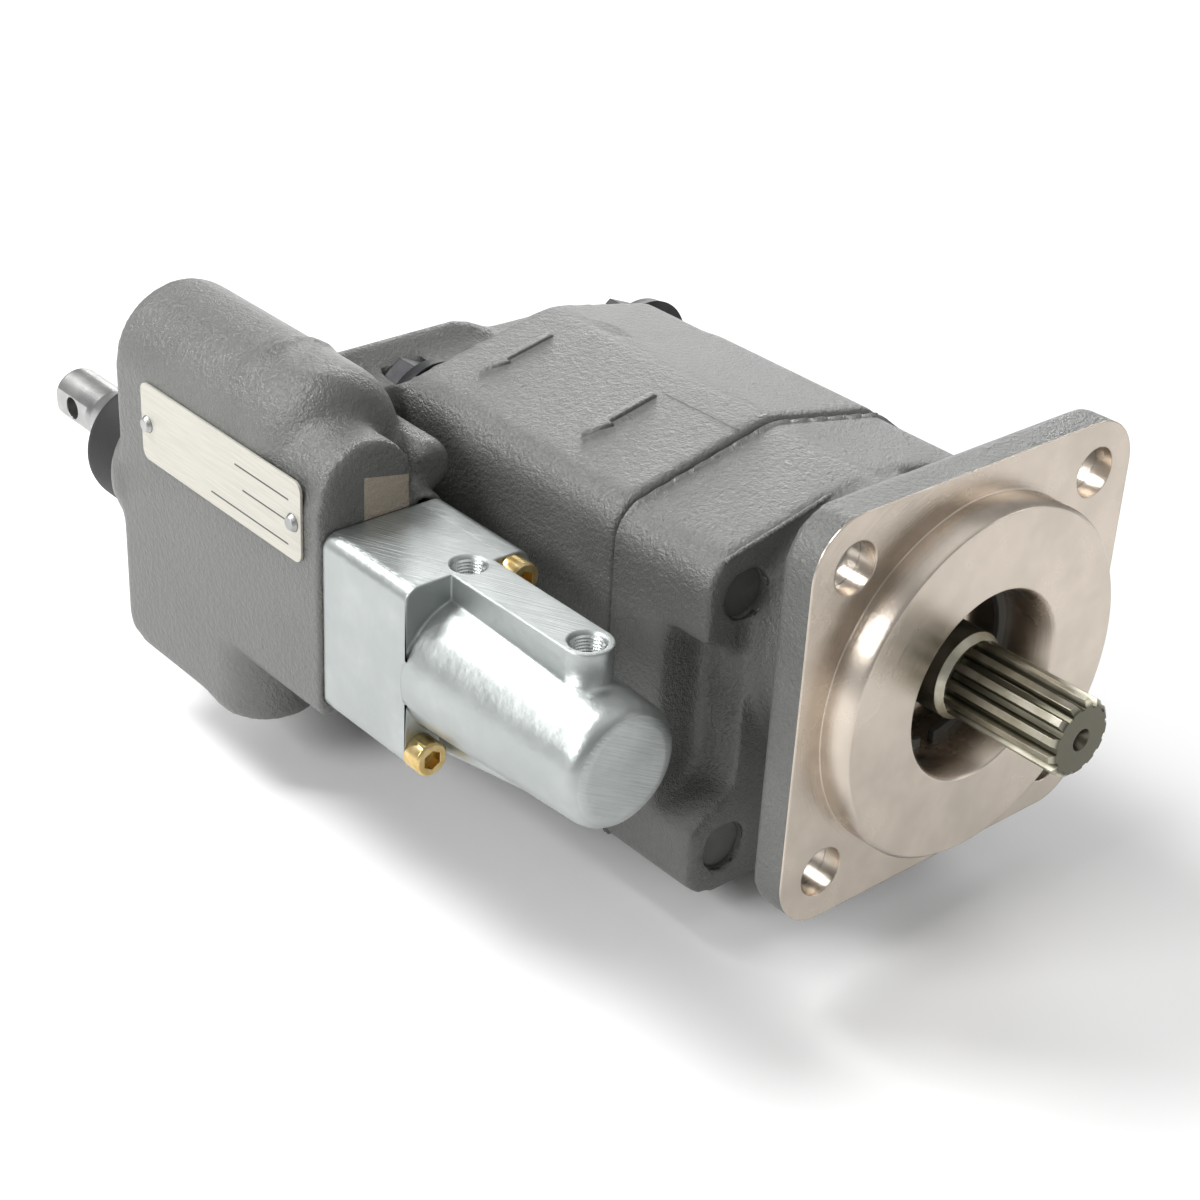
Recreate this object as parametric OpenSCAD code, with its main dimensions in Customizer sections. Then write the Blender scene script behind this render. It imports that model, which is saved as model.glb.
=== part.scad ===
/* [Flange and pilot] */
// side of the square mounting flange
flange_side = 119; // [116:0.5:126]
// thickness of the mounting flange
flange_t = 11; // [10:0.5:13]
// corner radius of the mounting flange
flange_corner_r = 15.5; // [12:0.5:17]
// distance between flange holes along each side (127 mm circle)
flange_pitch = 89.8; // [89.4:0.1:90.2]
// radius of the flange holes
flange_hole_r = 7.15; // [6.8:0.05:7.3]
// radius of the round pilot
pilot_r = 50.8; // [50.7:0.05:50.8]
// height of the pilot above the flange face
pilot_h = 9.2; // [8.5:0.1:9.7]
// radius of the open bore in the pilot
pilot_bore_r = 26.6; // [26:0.2:28]

/* [Shaft] */
// how far the splined shaft stands out of the flange face
shaft_out = 41; // [38:0.5:46]
// number of spline teeth
spline_n = 13; // [13:1:13]
// radius over the spline teeth
spline_r = 11; // [10.8:0.05:11.1]
// radius at the bottom of the spline grooves
spline_root_r = 9.1; // [8.9:0.1:9.4]
// radius of the plain shaft under the lip seal
seal_shaft_r = 12.5; // [12:0.1:12.8]

/* [Gears] */
// distance between the two gear axes
gear_cd = 43; // [42.5:0.5:43.5]
// teeth on each gear
gear_n = 10; // [10:1:10]
// flank pressure angle in degrees
gear_pa = 28; // [27:1:29]
// play between meshing flanks
gear_play = 0.3; // [0.2:0.05:0.4]
// radius of the gear journals
journal_r = 13; // [12.8:0.1:13.4]

/* [Pump body] */
// half width of the three stacked castings
body_half_w = 55; // [54:0.5:58]
// height of the ridge above the shaft axis
ridge_z = 43.5; // [42:0.5:46]
// front of the bolting face, behind the flange face
plate_x = -39; // [-40:0.5:-38.5]
// joint between shaft end cover and gear housing
joint1_x = -76; // [-77:0.5:-75]
// joint between gear housing and port end cover
joint2_x = -142; // [-143:0.5:-141]
// rear of the bolted ears of the port end cover
ears_x = -173; // [-174:0.5:-172]
// radius of the neck behind the flange
neck_r = 39; // [38:0.5:40]
// half distance between bolts sideways
bolt_dy = 41; // [40.5:0.25:41.5]
// half distance between bolts up and down
bolt_dz = 39.7; // [39.2:0.25:40.2]
// bolt shank radius
bolt_r = 7; // [6.9:0.05:7]

/* [Valve block] */
// sideways place of the spool axis
spool_y = -92; // [-93:0.5:-91]
// height of the spool axis
spool_z = -8; // [-9:0.5:-7]
// radius of the spool lands
spool_r = 9.5; // [9.3:0.1:9.6]
// outer side face of the valve block
valve_side_y = -112.5; // [-113.5:0.5:-112]
// front face of the valve block
valve_front_x = -129; // [-130:0.5:-128]
// rear face of the valve block
valve_rear_x = -234; // [-235:0.5:-233]
// radius of the round return passage casting on top
top_r = 22.1; // [22.05:0.05:22.15]
// height of the centre of the return passage casting
top_z = 29.5; // [28:0.5:30]
// radius of the work port thread
work_port_r = 15.6; // [15:0.1:15.6]
// radius of the inlet port thread on the right
inlet_port_r = 19.9; // [19.5:0.1:19.9]
// radius of the tank port thread underneath
tank_port_r = 12.5; // [12:0.1:12.5]

/* [Air cylinder] */
// thickness of the mounting block along the spool axis
block_t = 38; // [37:0.5:39]
// height of the port bar above the spool axis
bar_h = 26.5; // [26:0.5:28]
// bore radius of the air cylinder
air_bore_r = 12.5; // [12:0.1:13]
// barrel radius next to the block
barrel_r0 = 20.6; // [20:0.1:21]
// barrel radius at the closed end
barrel_r1 = 17.6; // [17.2:0.1:18]
// closed end of the barrel
barrel_end_x = -25.5; // [-27:0.5:-25]
// tapping radius of the two air ports
air_port_r = 4.6; // [4.3:0.1:4.8]
// distance between the two air ports
air_port_gap = 48; // [46:0.5:50]

/* [Hidden] */
$fn = 48;
e = 0.01;
run_gap = 0.05;
fit_gap = 0.02;
mid_z = -gear_cd / 2;
gear_m = gear_cd / gear_n;
gear_tip_r = gear_cd / 2 + gear_m;
gear_root_r = gear_cd / 2 - 1.2 * gear_m;
gear_base_r = gear_cd / 2 * cos(gear_pa);
plate_t = 5;
gear_x0 = joint2_x + plate_t + 0.03;
gear_x1 = joint1_x - plate_t - 0.03;
bush_r = journal_r + 3.5;
bush_l = 24;
bolt_hole_r = bolt_r + 0.06;
flange_back = -flange_t;
air_x0 = valve_front_x + 1;
block_x1 = air_x0 + block_t;
bar_y = spool_y + 2.2;
bar_w = 13.8;
air_port_x = -93;
block_y0 = spool_y - 19.5;
block_y1 = spool_y + 19.5;
block_z0 = spool_z - 28;
block_z1 = spool_z + bar_h;
seal_xs = [-237, -137];
rod_r = 8.4;
rod_flat = 7.5;
rod_end_x = -294.5;
piston_x = -62;
piston_t = 12;
step_x = -92;
bore_end_x = -33;
relief_z = -44;
relief_y = -92;
check_x = -198;
check_y = -52;
port_boss_x = -180.5;
port_boss_y = -96.4;
port_boss_r = 16;
valve_low_z = -61;
boss_low_z = -63.2;

module xcyl(r, x0, x1, y = 0, z = 0) {
  translate([x0, y, z])
    rotate([0, 90, 0])
      cylinder(r = r, h = x1 - x0);
}

module xcone(r0, r1, x0, x1, y = 0, z = 0) {
  translate([x0, y, z])
    rotate([0, 90, 0])
      cylinder(r1 = r0, r2 = r1, h = x1 - x0);
}

module xring(ro, ri, x0, x1, y = 0, z = 0) {
  difference() {
    xcyl(ro, x0, x1, y, z);
    xcyl(ri, x0 - 1, x1 + 1, y, z);
  }
}

module ycyl(r, y0, y1, x, z) {
  translate([x, y0, z])
    rotate([-90, 0, 0])
      cylinder(r = r, h = y1 - y0);
}

module zcyl(r, z0, z1, x, y) {
  translate([x, y, z0])
    cylinder(r = r, h = z1 - z0);
}

module along_x(x0, x1) {
  translate([x0, 0, 0])
    rotate([90, 0, 90])
      linear_extrude(height = x1 - x0)
        children();
}

// round bar along X from x0 to x1 with edge radii e0 and e1
module xround(r0, r1, x0, x1, e0, e1, y = 0, z = 0, steps = 4) {
  low = [for (i = [0 : steps]) [r0 - e0 + e0 * sin(90 * i / steps), e0 - e0 * cos(90 * i / steps)]];
  high = [for (i = [steps : -1 : 0]) [r1 - e1 + e1 * sin(90 * i / steps),
    x1 - x0 - e1 + e1 * cos(90 * i / steps)]];
  translate([x0, y, z])
    rotate([0, 90, 0])
      rotate_extrude()
        polygon(concat([[0, 0]], low, high, [[0, x1 - x0]]));
}

module box(p0, p1) {
  translate(p0)
    cube([p1[0] - p0[0], p1[1] - p0[1], p1[2] - p0[2]]);
}

// outline shared by the three stacked castings, seen along the shaft
module body_outline(inset = 0, drop = 0) {
  offset(delta = -inset)
    offset(r = 11, $fn = 40)
      offset(delta = -11)
        polygon([[-body_half_w, 32 - drop], [0, ridge_z - drop], [body_half_w, 32 - drop],
          [body_half_w, -74.7], [27, -75.7], [11, -84.5], [-11, -84.5], [-27, -75.7],
          [-body_half_w, -74.7]]);
}

module bolt_places() {
  for (sy = [-1, 1])
    for (sz = [-1, 1])
      translate([0, sy * bolt_dy, mid_z + sz * bolt_dz])
        children();
}

module dowel_places() {
  for (s = [-1, 1])
    translate([0, s * 46, mid_z + s * 2])
      children();
}

// two gear chambers side by side, drawn flat
module gear_chamber(r) {
  circle(r = r);
  translate([0, -gear_cd])
    circle(r = r);
}

function inv_deg(a) = tan(a) * 180 / PI - a;
function tooth_half(r) = (PI * gear_m / 2 - gear_play) / gear_cd * 180 / PI
  + inv_deg(gear_pa) - inv_deg(r > gear_base_r ? acos(gear_base_r / r) : 0);
flank_r = [for (i = [0 : 5]) gear_base_r + (gear_tip_r - gear_base_r) * i / 5];

module gear_outline() {
  polygon([for (k = [0 : gear_n - 1])
    for (p = concat([[gear_root_r, -tooth_half(gear_base_r)]],
      [for (r = flank_r) [r, -tooth_half(r)]],
      [for (i = [5 : -1 : 0]) [flank_r[i], tooth_half(flank_r[i])]],
      [[gear_root_r, tooth_half(gear_base_r)]]))
      [p[0] * cos(k * 360 / gear_n + p[1]), p[0] * sin(k * 360 / gear_n + p[1])]]);
}

module spline_teeth(x0, x1) {
  half_low = spline_root_r * sin(360 / spline_n * 0.36);
  half_top = spline_r * sin(360 / spline_n * 0.19);
  for (k = [0 : spline_n - 1])
    translate([x0, 0, 0])
      rotate([k * 360 / spline_n, 0, 0])
        rotate([90, 0, 90])
          linear_extrude(height = x1 - x0)
            polygon([[spline_root_r - 0.8, -half_low], [spline_r, -half_top],
              [spline_r, half_top], [spline_root_r - 0.8, half_low]]);
}

// one lug hollow between two bolts on the left side
module side_hollow() {
  along_x(-55, plate_x + 1)
    polygon([[-70, 7.5], [-54, 7.5], [-41, 0], [-39, -3], [-39, 2 * mid_z + 3],
      [-41, 2 * mid_z - 1], [-54, 2 * mid_z - 9], [-70, 2 * mid_z - 9]]);
}

module shaft_end_cover() {
  color([0.36, 0.37, 0.36])
  difference() {
    union() {
      along_x(flange_back, 0)
        offset(r = flange_corner_r)
          square(flange_side - 2 * flange_corner_r, center = true);
      xcyl(pilot_r, -e, pilot_h - 1);
      xcone(pilot_r, pilot_r - 1, pilot_h - 1, pilot_h);
      xcyl(neck_r, plate_x - 1, flange_back + e);
      xcone(neck_r, 49, -18, flange_back + e);
      along_x(joint1_x + 1.4, plate_x)
        body_outline(0, 1.5);
      along_x(plate_x - 1, -15)
        polygon([[-13, 20], [-13, 38.4], [0, ridge_z - 1.8], [13, 38.4], [13, 20]]);
      along_x(joint1_x, joint1_x + 1.4 + e)
        body_outline(1.6, 0);
    }
    side_hollow();
    mirror([0, 1, 0])
      side_hollow();
    for (sy = [-1, 1])
      for (sz = [-1, 1])
        xcyl(flange_hole_r, flange_back - 1, 1, sy * flange_pitch / 2, sz * flange_pitch / 2);
    xcyl(pilot_bore_r, -21, pilot_h + 1);
    xcone(pilot_bore_r, pilot_bore_r + 1.5, pilot_h - 1, pilot_h + 0.5);
    xcyl(pilot_bore_r + 1.6, -9.2, -7.2);
    xcyl(22, -33, -21 + e);
    xcyl(seal_shaft_r + 2.5, -53, -33 + e);
    xcyl(bush_r, joint1_x - 1, joint1_x + bush_l + 0.1);
    xcyl(bush_r, joint1_x - 1, joint1_x + bush_l + 0.1, 0, -gear_cd);
    bolt_places()
      xcyl(bolt_hole_r, joint1_x - 1, plate_x + 1);
    dowel_places()
      xcyl(3, joint1_x - 1, joint1_x + 8);
  }
}

module gear_housing() {
  color([0.36, 0.37, 0.36])
  difference() {
    along_x(joint2_x, joint1_x)
      body_outline();
    along_x(joint2_x - 1, joint1_x + 1)
      gear_chamber(gear_tip_r + run_gap);
    xcyl(9, gear_x0, gear_x1, -22, mid_z);
    xcyl(9, gear_x0 - plate_t - 1, gear_x1, -22, mid_z);
    xcyl(10, gear_x0 - plate_t - 1, gear_x1, 23, mid_z);
    bolt_places()
      xcyl(bolt_hole_r, joint2_x - 1, joint1_x + 1);
    dowel_places()
      xcyl(3, joint2_x - 1, joint1_x + 1);
    seal_band(joint1_x - 1.5, joint1_x + 1);
    seal_band(joint2_x - 1, joint2_x + 1.5);
  }
}

// flat band around both gear chambers
module seal_band(x0, x1) {
  along_x(x0, x1)
    difference() {
      seal_shape(34.2);
      seal_shape(31.8);
    }
}

module seal_shape(r) {
  circle(r = r);
  translate([0, -gear_cd])
    circle(r = r);
  translate([-r, -gear_cd])
    square([2 * r, gear_cd]);
}

module port_end_cover() {
  color([0.36, 0.37, 0.36])
  difference() {
    union() {
      along_x(ears_x, joint2_x)
        body_outline(0, -0.2);
      along_x(-198, ears_x + e)
        rear_outline(33);
      along_x(-221, -197)
        rear_outline(14);
      ycyl(25, 0, 58, -196, mid_z);
      valve_block();
    }
    rear_pockets();
    port_passages();
  }
}

// outline of the passage casting behind the ears
module rear_outline(top) {
  offset(r = 7)
    offset(delta = -7)
      polygon([[-82, top], [-13, top], [-4, top - 4.5], [30, top - 6], [44, top - 18], [44, -52],
        [32, -72], [-66, -72], [-82, -50]]);
}

// deep rear half of the valve block, seen from above
module valve_plan() {
  offset(r = 2)
    offset(delta = -2)
      polygon([[valve_rear_x, valve_side_y], [port_boss_x + 1.5, valve_side_y],
        [port_boss_x + 1.5, -66], [valve_rear_x, -66]]);
}

// deep rear half of the valve block, seen from the side
module valve_side() {
  polygon([[valve_rear_x - 1, 30], [-150, 30], [-150, valve_low_z], [-223, valve_low_z],
    [-230, valve_low_z + 2.6], [valve_rear_x - 1, valve_low_z + 7]]);
}

// body of the control valve, on the left of the pump
module valve_block() {
  zcyl(port_boss_r, boss_low_z + 1, -30, port_boss_x, port_boss_y);
  translate([port_boss_x, port_boss_y, boss_low_z])
    cylinder(r1 = port_boss_r - 1, r2 = port_boss_r, h = 1 + e);
  intersection() {
    translate([0, 0, -80])
      linear_extrude(height = 112)
        valve_plan();
    translate([0, -60, 0])
      rotate([90, 0, 0])
        linear_extrude(height = 60)
          valve_side();
  }
  along_x(-190, valve_front_x)
    offset(r = 3)
      offset(delta = -3)
        polygon([[valve_side_y, 27], [-84, 27], [-80, 20], [-72, 20], [-72, -39.5],
          [valve_side_y, -39.5]]);
  along_x(-175, joint2_x - 2)
    polygon([[-80, -4], [-50, -4], [-50, -50], [-80, -36]]);
  xround(top_r, top_r, valve_rear_x, -147, 3, 13, -90.5, top_z, 7);
  xround(15.4, 15.4, -160, valve_front_x, 2, 0.8, -96.3, 26);
  xround(8, 8, -176, -137, 2, 2, -69, 22.5);
  xround(21.6, 21.6, -239, valve_rear_x + 2, 2, 1, spool_y, spool_z - 1);
  xround(15, 15, -238, valve_rear_x + 2, 2, 1, relief_y, relief_z);
}

// room for the four bolt heads behind the ears
module rear_pockets() {
  bolt_places()
    xcyl(16.5, -188.2, ears_x);
  along_x(-188.2, ears_x)
    polygon([[25, 12], [70, 12], [70, 60], [25, 60]]);
  for (s = [-1, 1])
    along_x(-188.2, ears_x)
      polygon([[s * 25, -60], [s * 57, -60], [s * 60, -90], [s * 22, -90]]);
}

module port_passages() {
  bolt_places()
    xcyl(bolt_hole_r, ears_x - 1, joint2_x + 1);
  dowel_places()
    xcyl(3, joint2_x - 8, joint2_x + 1);
  xcyl(bush_r, joint2_x - bush_l - 0.1, joint2_x + 1);
  xcyl(bush_r, joint2_x - bush_l - 0.1, joint2_x + 1, 0, -gear_cd);
  xcyl(journal_r - 2, joint2_x - bush_l - 6, joint2_x);
  xcyl(journal_r - 2, joint2_x - bush_l - 6, joint2_x, 0, -gear_cd);
  xcyl(9, check_x - 6, joint2_x + 1, -22, mid_z);
  xcyl(10, -203, joint2_x + 1, 23, mid_z);
  ycyl(inlet_port_r, 34, 59, -196, mid_z);
  ycyl(16, 14, 36, -196, mid_z);
  xcyl(spool_r + run_gap, -241, valve_front_x + 1, spool_y, spool_z);
  for (s = [[-208, -202], [-192, -184], [-168, -160], [-150, -144]])
    xcyl(spool_r + 3, s[0], s[1], spool_y, spool_z);
  for (x = seal_xs)
    xcyl(spool_r + 2.52, x - 0.05, x + 3.05, spool_y, spool_z);
  xcyl(work_port_r, valve_rear_x - 1, -209, -90.5, top_z);
  xcyl(12, -210, -160, -90.5, top_z);
  zcyl(6, -2, 24, -164, -91.5);
  zcyl(6, -48, -9, port_boss_x - 4.5, port_boss_y + 2.5);
  zcyl(tank_port_r, -67, -46, port_boss_x, port_boss_y);
  zcyl(9, -73, -40, check_x, check_y);
  zcyl(6, -41, -25, check_x, check_y);
  ycyl(5.5, check_y, -20, check_x, -56);
  ycyl(4.5, -90, check_y, check_x - 5, -12);
  zcyl(9, -36, -8, check_x, check_y);
  xcyl(7, valve_rear_x - 6, -212, relief_y, relief_z);
  xcyl(4, -213, -200, relief_y, relief_z);
  zcyl(3.5, relief_z, -12, -205, relief_y);
  zcyl(3, relief_z, 20, -219, relief_y + 1.3);
  for (x = [-213.4, -139.4])
    ycyl(1.57, valve_side_y - 1, valve_side_y + 4.2, x, 18);
  for (s = [-1, 1])
    xcyl(3.02, valve_front_x - 16, valve_front_x + 1, spool_y + s * 14.7, spool_z + s * 23.6);
}

module drive_gear_shaft() {
  color([0.55, 0.54, 0.5])
  difference() {
    union() {
      along_x(gear_x0, gear_x1)
        rotate(-90)
          gear_outline();
      xcyl(journal_r, joint2_x - bush_l, joint1_x + bush_l + 2);
      xcyl(seal_shaft_r, joint1_x + bush_l + 1, 3);
      xcone(seal_shaft_r, 11, 3 - e, 5);
      intersection() {
        union() {
          spline_teeth(3, shaft_out);
          xcyl(spline_root_r, 3, shaft_out);
        }
        union() {
          xcyl(spline_r + 1, 2, shaft_out - 2 + e);
          xcone(spline_r + 1, spline_r - 1.4, shaft_out - 2, shaft_out + e);
        }
      }
    }
    xcone(1.2, 3.2, shaft_out - 4, shaft_out + 0.1);
    xcyl(1.3, shaft_out - 12, shaft_out - 3);
  }
}

module driven_gear_shaft() {
  color([0.55, 0.54, 0.5])
  translate([0, 0, -gear_cd]) {
    along_x(gear_x0, gear_x1)
      rotate(90 + 180 / gear_n)
        gear_outline();
    xcyl(journal_r, joint2_x - bush_l, joint1_x + bush_l);
  }
}

module thrust_plate(x0) {
  difference() {
    along_x(x0, x0 + plate_t)
      gear_chamber(gear_tip_r + fit_gap);
    xcyl(journal_r + run_gap, x0 - 1, x0 + plate_t + 1);
    xcyl(journal_r + run_gap, x0 - 1, x0 + plate_t + 1, 0, -gear_cd);
  }
}

module thrust_plates() {
  color([0.72, 0.55, 0.25]) {
    thrust_plate(joint2_x);
    thrust_plate(joint1_x - plate_t);
  }
}

module shaft_bushings() {
  color([0.7, 0.58, 0.3])
  for (z = [0, -gear_cd]) {
    xring(bush_r - fit_gap, journal_r + run_gap, joint1_x, joint1_x + bush_l, 0, z);
    xring(bush_r - fit_gap, journal_r + run_gap, joint2_x - bush_l, joint2_x, 0, z);
  }
}

module housing_seals() {
  color([0.06, 0.06, 0.06]) {
    seal_band(joint1_x - 1.5, joint1_x);
    seal_band(joint2_x, joint2_x + 1.5);
  }
}

module dowel_pins() {
  color([0.6, 0.6, 0.6])
  dowel_places() {
    xcyl(2.98, joint1_x - 8, joint1_x + 7.5);
    xcyl(2.98, joint2_x - 7.5, joint2_x + 8);
  }
}

module through_bolts() {
  color([0.07, 0.07, 0.08])
  bolt_places() {
    xcyl(bolt_r, ears_x - e, plate_x - 2.3);
    xcone(15.2, 15.8, ears_x - 3.2, ears_x);
    xcone(11.8, 15.2, ears_x - 5, ears_x - 3.2);
    translate([ears_x - 15, 0, 0])
      rotate([0, 90, 0])
        cylinder(r = 12.1, h = 11, $fn = 6);
  }
}

module shaft_seal() {
  color([0.05, 0.05, 0.05])
  difference() {
    xcyl(21.98, -33, -23);
    xcyl(seal_shaft_r + 0.02, -34, -22);
    difference() {
      xcyl(18.5, -31, -22);
      xcyl(seal_shaft_r + 2, -31, -22);
    }
  }
}

module seal_ring() {
  color([0.25, 0.25, 0.24])
  difference() {
    xcyl(pilot_bore_r + 1.5, -9.1, -7.3);
    xcyl(pilot_bore_r - 2.6, -10, -6);
    box([-10, -2.5, -40], [-6, 2.5, 0]);
  }
}

module air_cylinder() {
  color([0.72, 0.75, 0.76])
  difference() {
    union() {
      along_x(air_x0, block_x1)
        air_block_outline();
      xround(barrel_r0, barrel_r1, block_x1 - 2, barrel_end_x, 0.5, 4.6, spool_y, spool_z - 0.9);
      box([block_x1 - 1, bar_y - bar_w / 2, spool_z], [air_port_x + air_port_gap, bar_y + bar_w / 2, block_z1]);
      zcyl(bar_w / 2, spool_z, block_z1, air_port_x + air_port_gap, bar_y);
      translate([0, spool_y - 3, 0])
        rotate([90, 0, 0])
          linear_extrude(height = 5)
            polygon([[block_x1 - 1, spool_z - 26.2], [-54, spool_z - 19.2], [-54, spool_z - 14],
              [block_x1 - 1, spool_z - 14]]);
    }
    xcyl(air_bore_r, step_x, bore_end_x, spool_y, spool_z);
    xcyl(air_bore_r - 2, air_x0 - 1, step_x + 1, spool_y, spool_z);
    for (i = [0, 1]) {
      zcyl(air_port_r, block_z1 - 11.2, block_z1 + 1, air_port_x + i * air_port_gap, bar_y);
      zcyl(2.4, spool_z + 8, block_z1 - 11, air_port_x + i * air_port_gap, bar_y);
      translate([air_port_x + i * air_port_gap, bar_y, block_z1 - 0.8])
        cylinder(r1 = air_port_r, r2 = air_port_r + 0.9, h = 0.9);
    }
    for (s = [-1, 1])
      xcyl(3.3, air_x0 - 1, block_x1 + 1, spool_y + s * 14.7, spool_z + s * 23.6);
  }
}

module air_block_outline() {
  difference() {
    offset(r = 4.5)
      offset(delta = -4.5)
        polygon([[block_y0, block_z0], [block_y1, block_z0], [block_y1, block_z1], [block_y0, block_z1]]);
  }
}

module air_gasket() {
  color([0.1, 0.1, 0.09])
  difference() {
    along_x(valve_front_x, air_x0)
      offset(r = 4.5)
        offset(delta = -5.1)
          polygon([[block_y0, block_z0], [block_y1, block_z0], [block_y1, block_z1], [block_y0, block_z1]]);
    xcyl(spool_r + 0.5, valve_front_x - 1, air_x0 + 1, spool_y, spool_z);
    for (s = [-1, 1])
      xcyl(3.4, valve_front_x - 1, air_x0 + 1, spool_y + s * 14.7, spool_z + s * 23.6);
  }
}

module air_screws() {
  color([0.78, 0.62, 0.25])
  for (s = [-1, 1])
    translate([0, spool_y + s * 14.7, spool_z + s * 23.6])
      difference() {
        union() {
          xcyl(3, valve_front_x - 14, block_x1 + 1);
          xcyl(5, block_x1, block_x1 + 5.6);
          xcone(5, 4.5, block_x1 + 5.6 - e, block_x1 + 6.2);
        }
        translate([block_x1 + 3, 0, 0])
          rotate([0, 90, 0])
            cylinder(r = 2.9, h = 4, $fn = 6);
      }
}

module control_spool() {
  color([0.6, 0.6, 0.6])
  difference() {
    union() {
      for (s = [[-246, -211], [-204, -190], [-180, -165], [-158, -148], [-141, -118]])
        xcyl(spool_r, s[0], s[1], spool_y, spool_z);
      xcyl(6.5, -230, -130, spool_y, spool_z);
      xcone(rod_r, 13, -272, -260, spool_y, spool_z);
      xcyl(13, -260 - e, -256, spool_y, spool_z);
      xcyl(spool_r, -257, -245, spool_y, spool_z);
      xround(rod_r, rod_r, rod_end_x, -270, 1.5, 0.5, spool_y, spool_z);
    }
    box([rod_end_x - 2, spool_y - 12, spool_z - 12], [-275, spool_y - rod_flat, spool_z + 12]);
    box([rod_end_x - 2, spool_y + rod_flat, spool_z - 12], [-275, spool_y + 12, spool_z + 12]);
    ycyl(3.6, spool_y - 12, spool_y + 12, rod_end_x + 10, spool_z);
    xcyl(2.5, -134, -117, spool_y, spool_z);
  }
}

module spool_seals() {
  color([0.05, 0.05, 0.05]) {
    for (x = seal_xs)
      xring(spool_r + 2.5, spool_r + run_gap, x, x + 3, spool_y, spool_z);
  }
}

module rear_boot() {
  color([0.05, 0.05, 0.06])
  difference() {
    xround(19.5, 19.5, -257, -239, 4, 0.5, spool_y, spool_z - 1);
    xcyl(13.8, -258, -242, spool_y, spool_z);
    xcyl(spool_r + 0.5, -243, -238, spool_y, spool_z);
  }
}

module air_piston() {
  color([0.75, 0.74, 0.7])
  difference() {
    xcyl(air_bore_r - run_gap, piston_x - piston_t / 2, piston_x + piston_t / 2, spool_y, spool_z);
    xring(air_bore_r + 1, air_bore_r - 2, piston_x - 1.5, piston_x + 1.5, spool_y, spool_z);
    xcyl(4.02, piston_x - 10, piston_x + 10, spool_y, spool_z);
  }
}

module piston_seal() {
  color([0.05, 0.05, 0.05])
  xring(air_bore_r - 0.02, air_bore_r - 2, piston_x - 1.5, piston_x + 1.5, spool_y, spool_z);
}

module piston_screw() {
  color([0.15, 0.15, 0.16]) {
    xcyl(4, -118, piston_x + piston_t / 2 + 1, spool_y, spool_z);
    xcyl(2.5, -133, -117, spool_y, spool_z);
    xcyl(6, piston_x + piston_t / 2, piston_x + piston_t / 2 + 4, spool_y, spool_z);
    xcyl(6.5, piston_x - piston_t / 2 - 3, piston_x - piston_t / 2, spool_y, spool_z);
  }
}

// stack of wire rings joined by short bars, standing for a coil
module ring_spring(x0, x1, coils, r, w, y, z) {
  pitch = (x1 - x0 - w) / (coils - 1);
  for (i = [0 : coils - 1])
    translate([x0 + w / 2 + i * pitch, y, z])
      rotate([0, 90, 0])
        rotate_extrude($fn = 32)
          translate([r, 0])
            circle(r = w / 2, $fn = 8);
  for (i = [0 : coils - 2])
    translate([x0 + w / 2 + i * pitch, y, z])
      rotate([i % 2 * 180, 0, 0])
        translate([0, r, 0])
          rotate([0, 90, 0])
            cylinder(r = w * 0.4, h = pitch, $fn = 8);
}

module front_spring() {
  color([0.4, 0.4, 0.42])
  ring_spring(piston_x + piston_t / 2, bore_end_x, 5, 9.4, 1.8, spool_y, spool_z);
}

module rear_spring() {
  color([0.4, 0.4, 0.42])
  ring_spring(step_x + 2, piston_x - piston_t / 2, 5, 9.4, 1.8, spool_y, spool_z);
}

module spring_seat() {
  color([0.5, 0.5, 0.5])
  xring(air_bore_r - 0.1, 5, step_x, step_x + 2, spool_y, spool_z);
}

module relief_poppet() {
  color([0.6, 0.6, 0.6]) {
    xcone(5.5, 1, -215, -209, relief_y, relief_z);
    xcyl(5.5, -218, -215 + e, relief_y, relief_z);
  }
}

module relief_spring() {
  color([0.4, 0.4, 0.42])
  ring_spring(-229, -218, 5, 4.2, 1.3, relief_y, relief_z);
}

module relief_cap() {
  color([0.3, 0.31, 0.3])
  difference() {
    union() {
      xcyl(6.95, -236, -230.3, relief_y, relief_z);
      xcyl(11, -240, -238, relief_y, relief_z);
      translate([-249, relief_y, relief_z])
        rotate([0, 90, 0])
          cylinder(r = 11, h = 9 + e, $fn = 6);
      xcyl(6.95, -239, -235, relief_y, relief_z);
    }
    xcyl(3.02, -250, -228, relief_y, relief_z);
  }
}

module relief_screw() {
  color([0.55, 0.55, 0.55])
  difference() {
    union() {
      xcyl(3, -260, -230, relief_y, relief_z);
      xcyl(5, -230, -229, relief_y, relief_z);
    }
    translate([-261, relief_y, relief_z])
      rotate([0, 90, 0])
        cylinder(r = 1.7, h = 4, $fn = 6);
  }
}

module relief_nut() {
  color([0.5, 0.5, 0.5])
  difference() {
    translate([-254, relief_y, relief_z])
      rotate([0, 90, 0])
        cylinder(r = 6.4, h = 5, $fn = 6);
    xcyl(3.02, -260, -240, relief_y, relief_z);
  }
}

module check_poppet() {
  color([0.6, 0.6, 0.6]) {
    translate([check_x, check_y, -44])
      cylinder(r1 = 8.2, r2 = 4.5, h = 6);
    zcyl(8.2, -50, -44 + e, check_x, check_y);
  }
}

module check_spring() {
  color([0.4, 0.4, 0.42])
  translate([check_x, check_y, 0])
    rotate([0, -90, 0])
      ring_spring(-66, -50, 5, 5.5, 1.4, 0, 0);
}

module check_plug() {
  color([0.3, 0.31, 0.3])
  difference() {
    union() {
      zcyl(8.95, -73, -66, check_x, check_y);
      zcyl(12, -76, -72, check_x, check_y);
    }
    translate([check_x, check_y, -77])
      cylinder(r = 4.6, h = 5, $fn = 6);
  }
}

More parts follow.
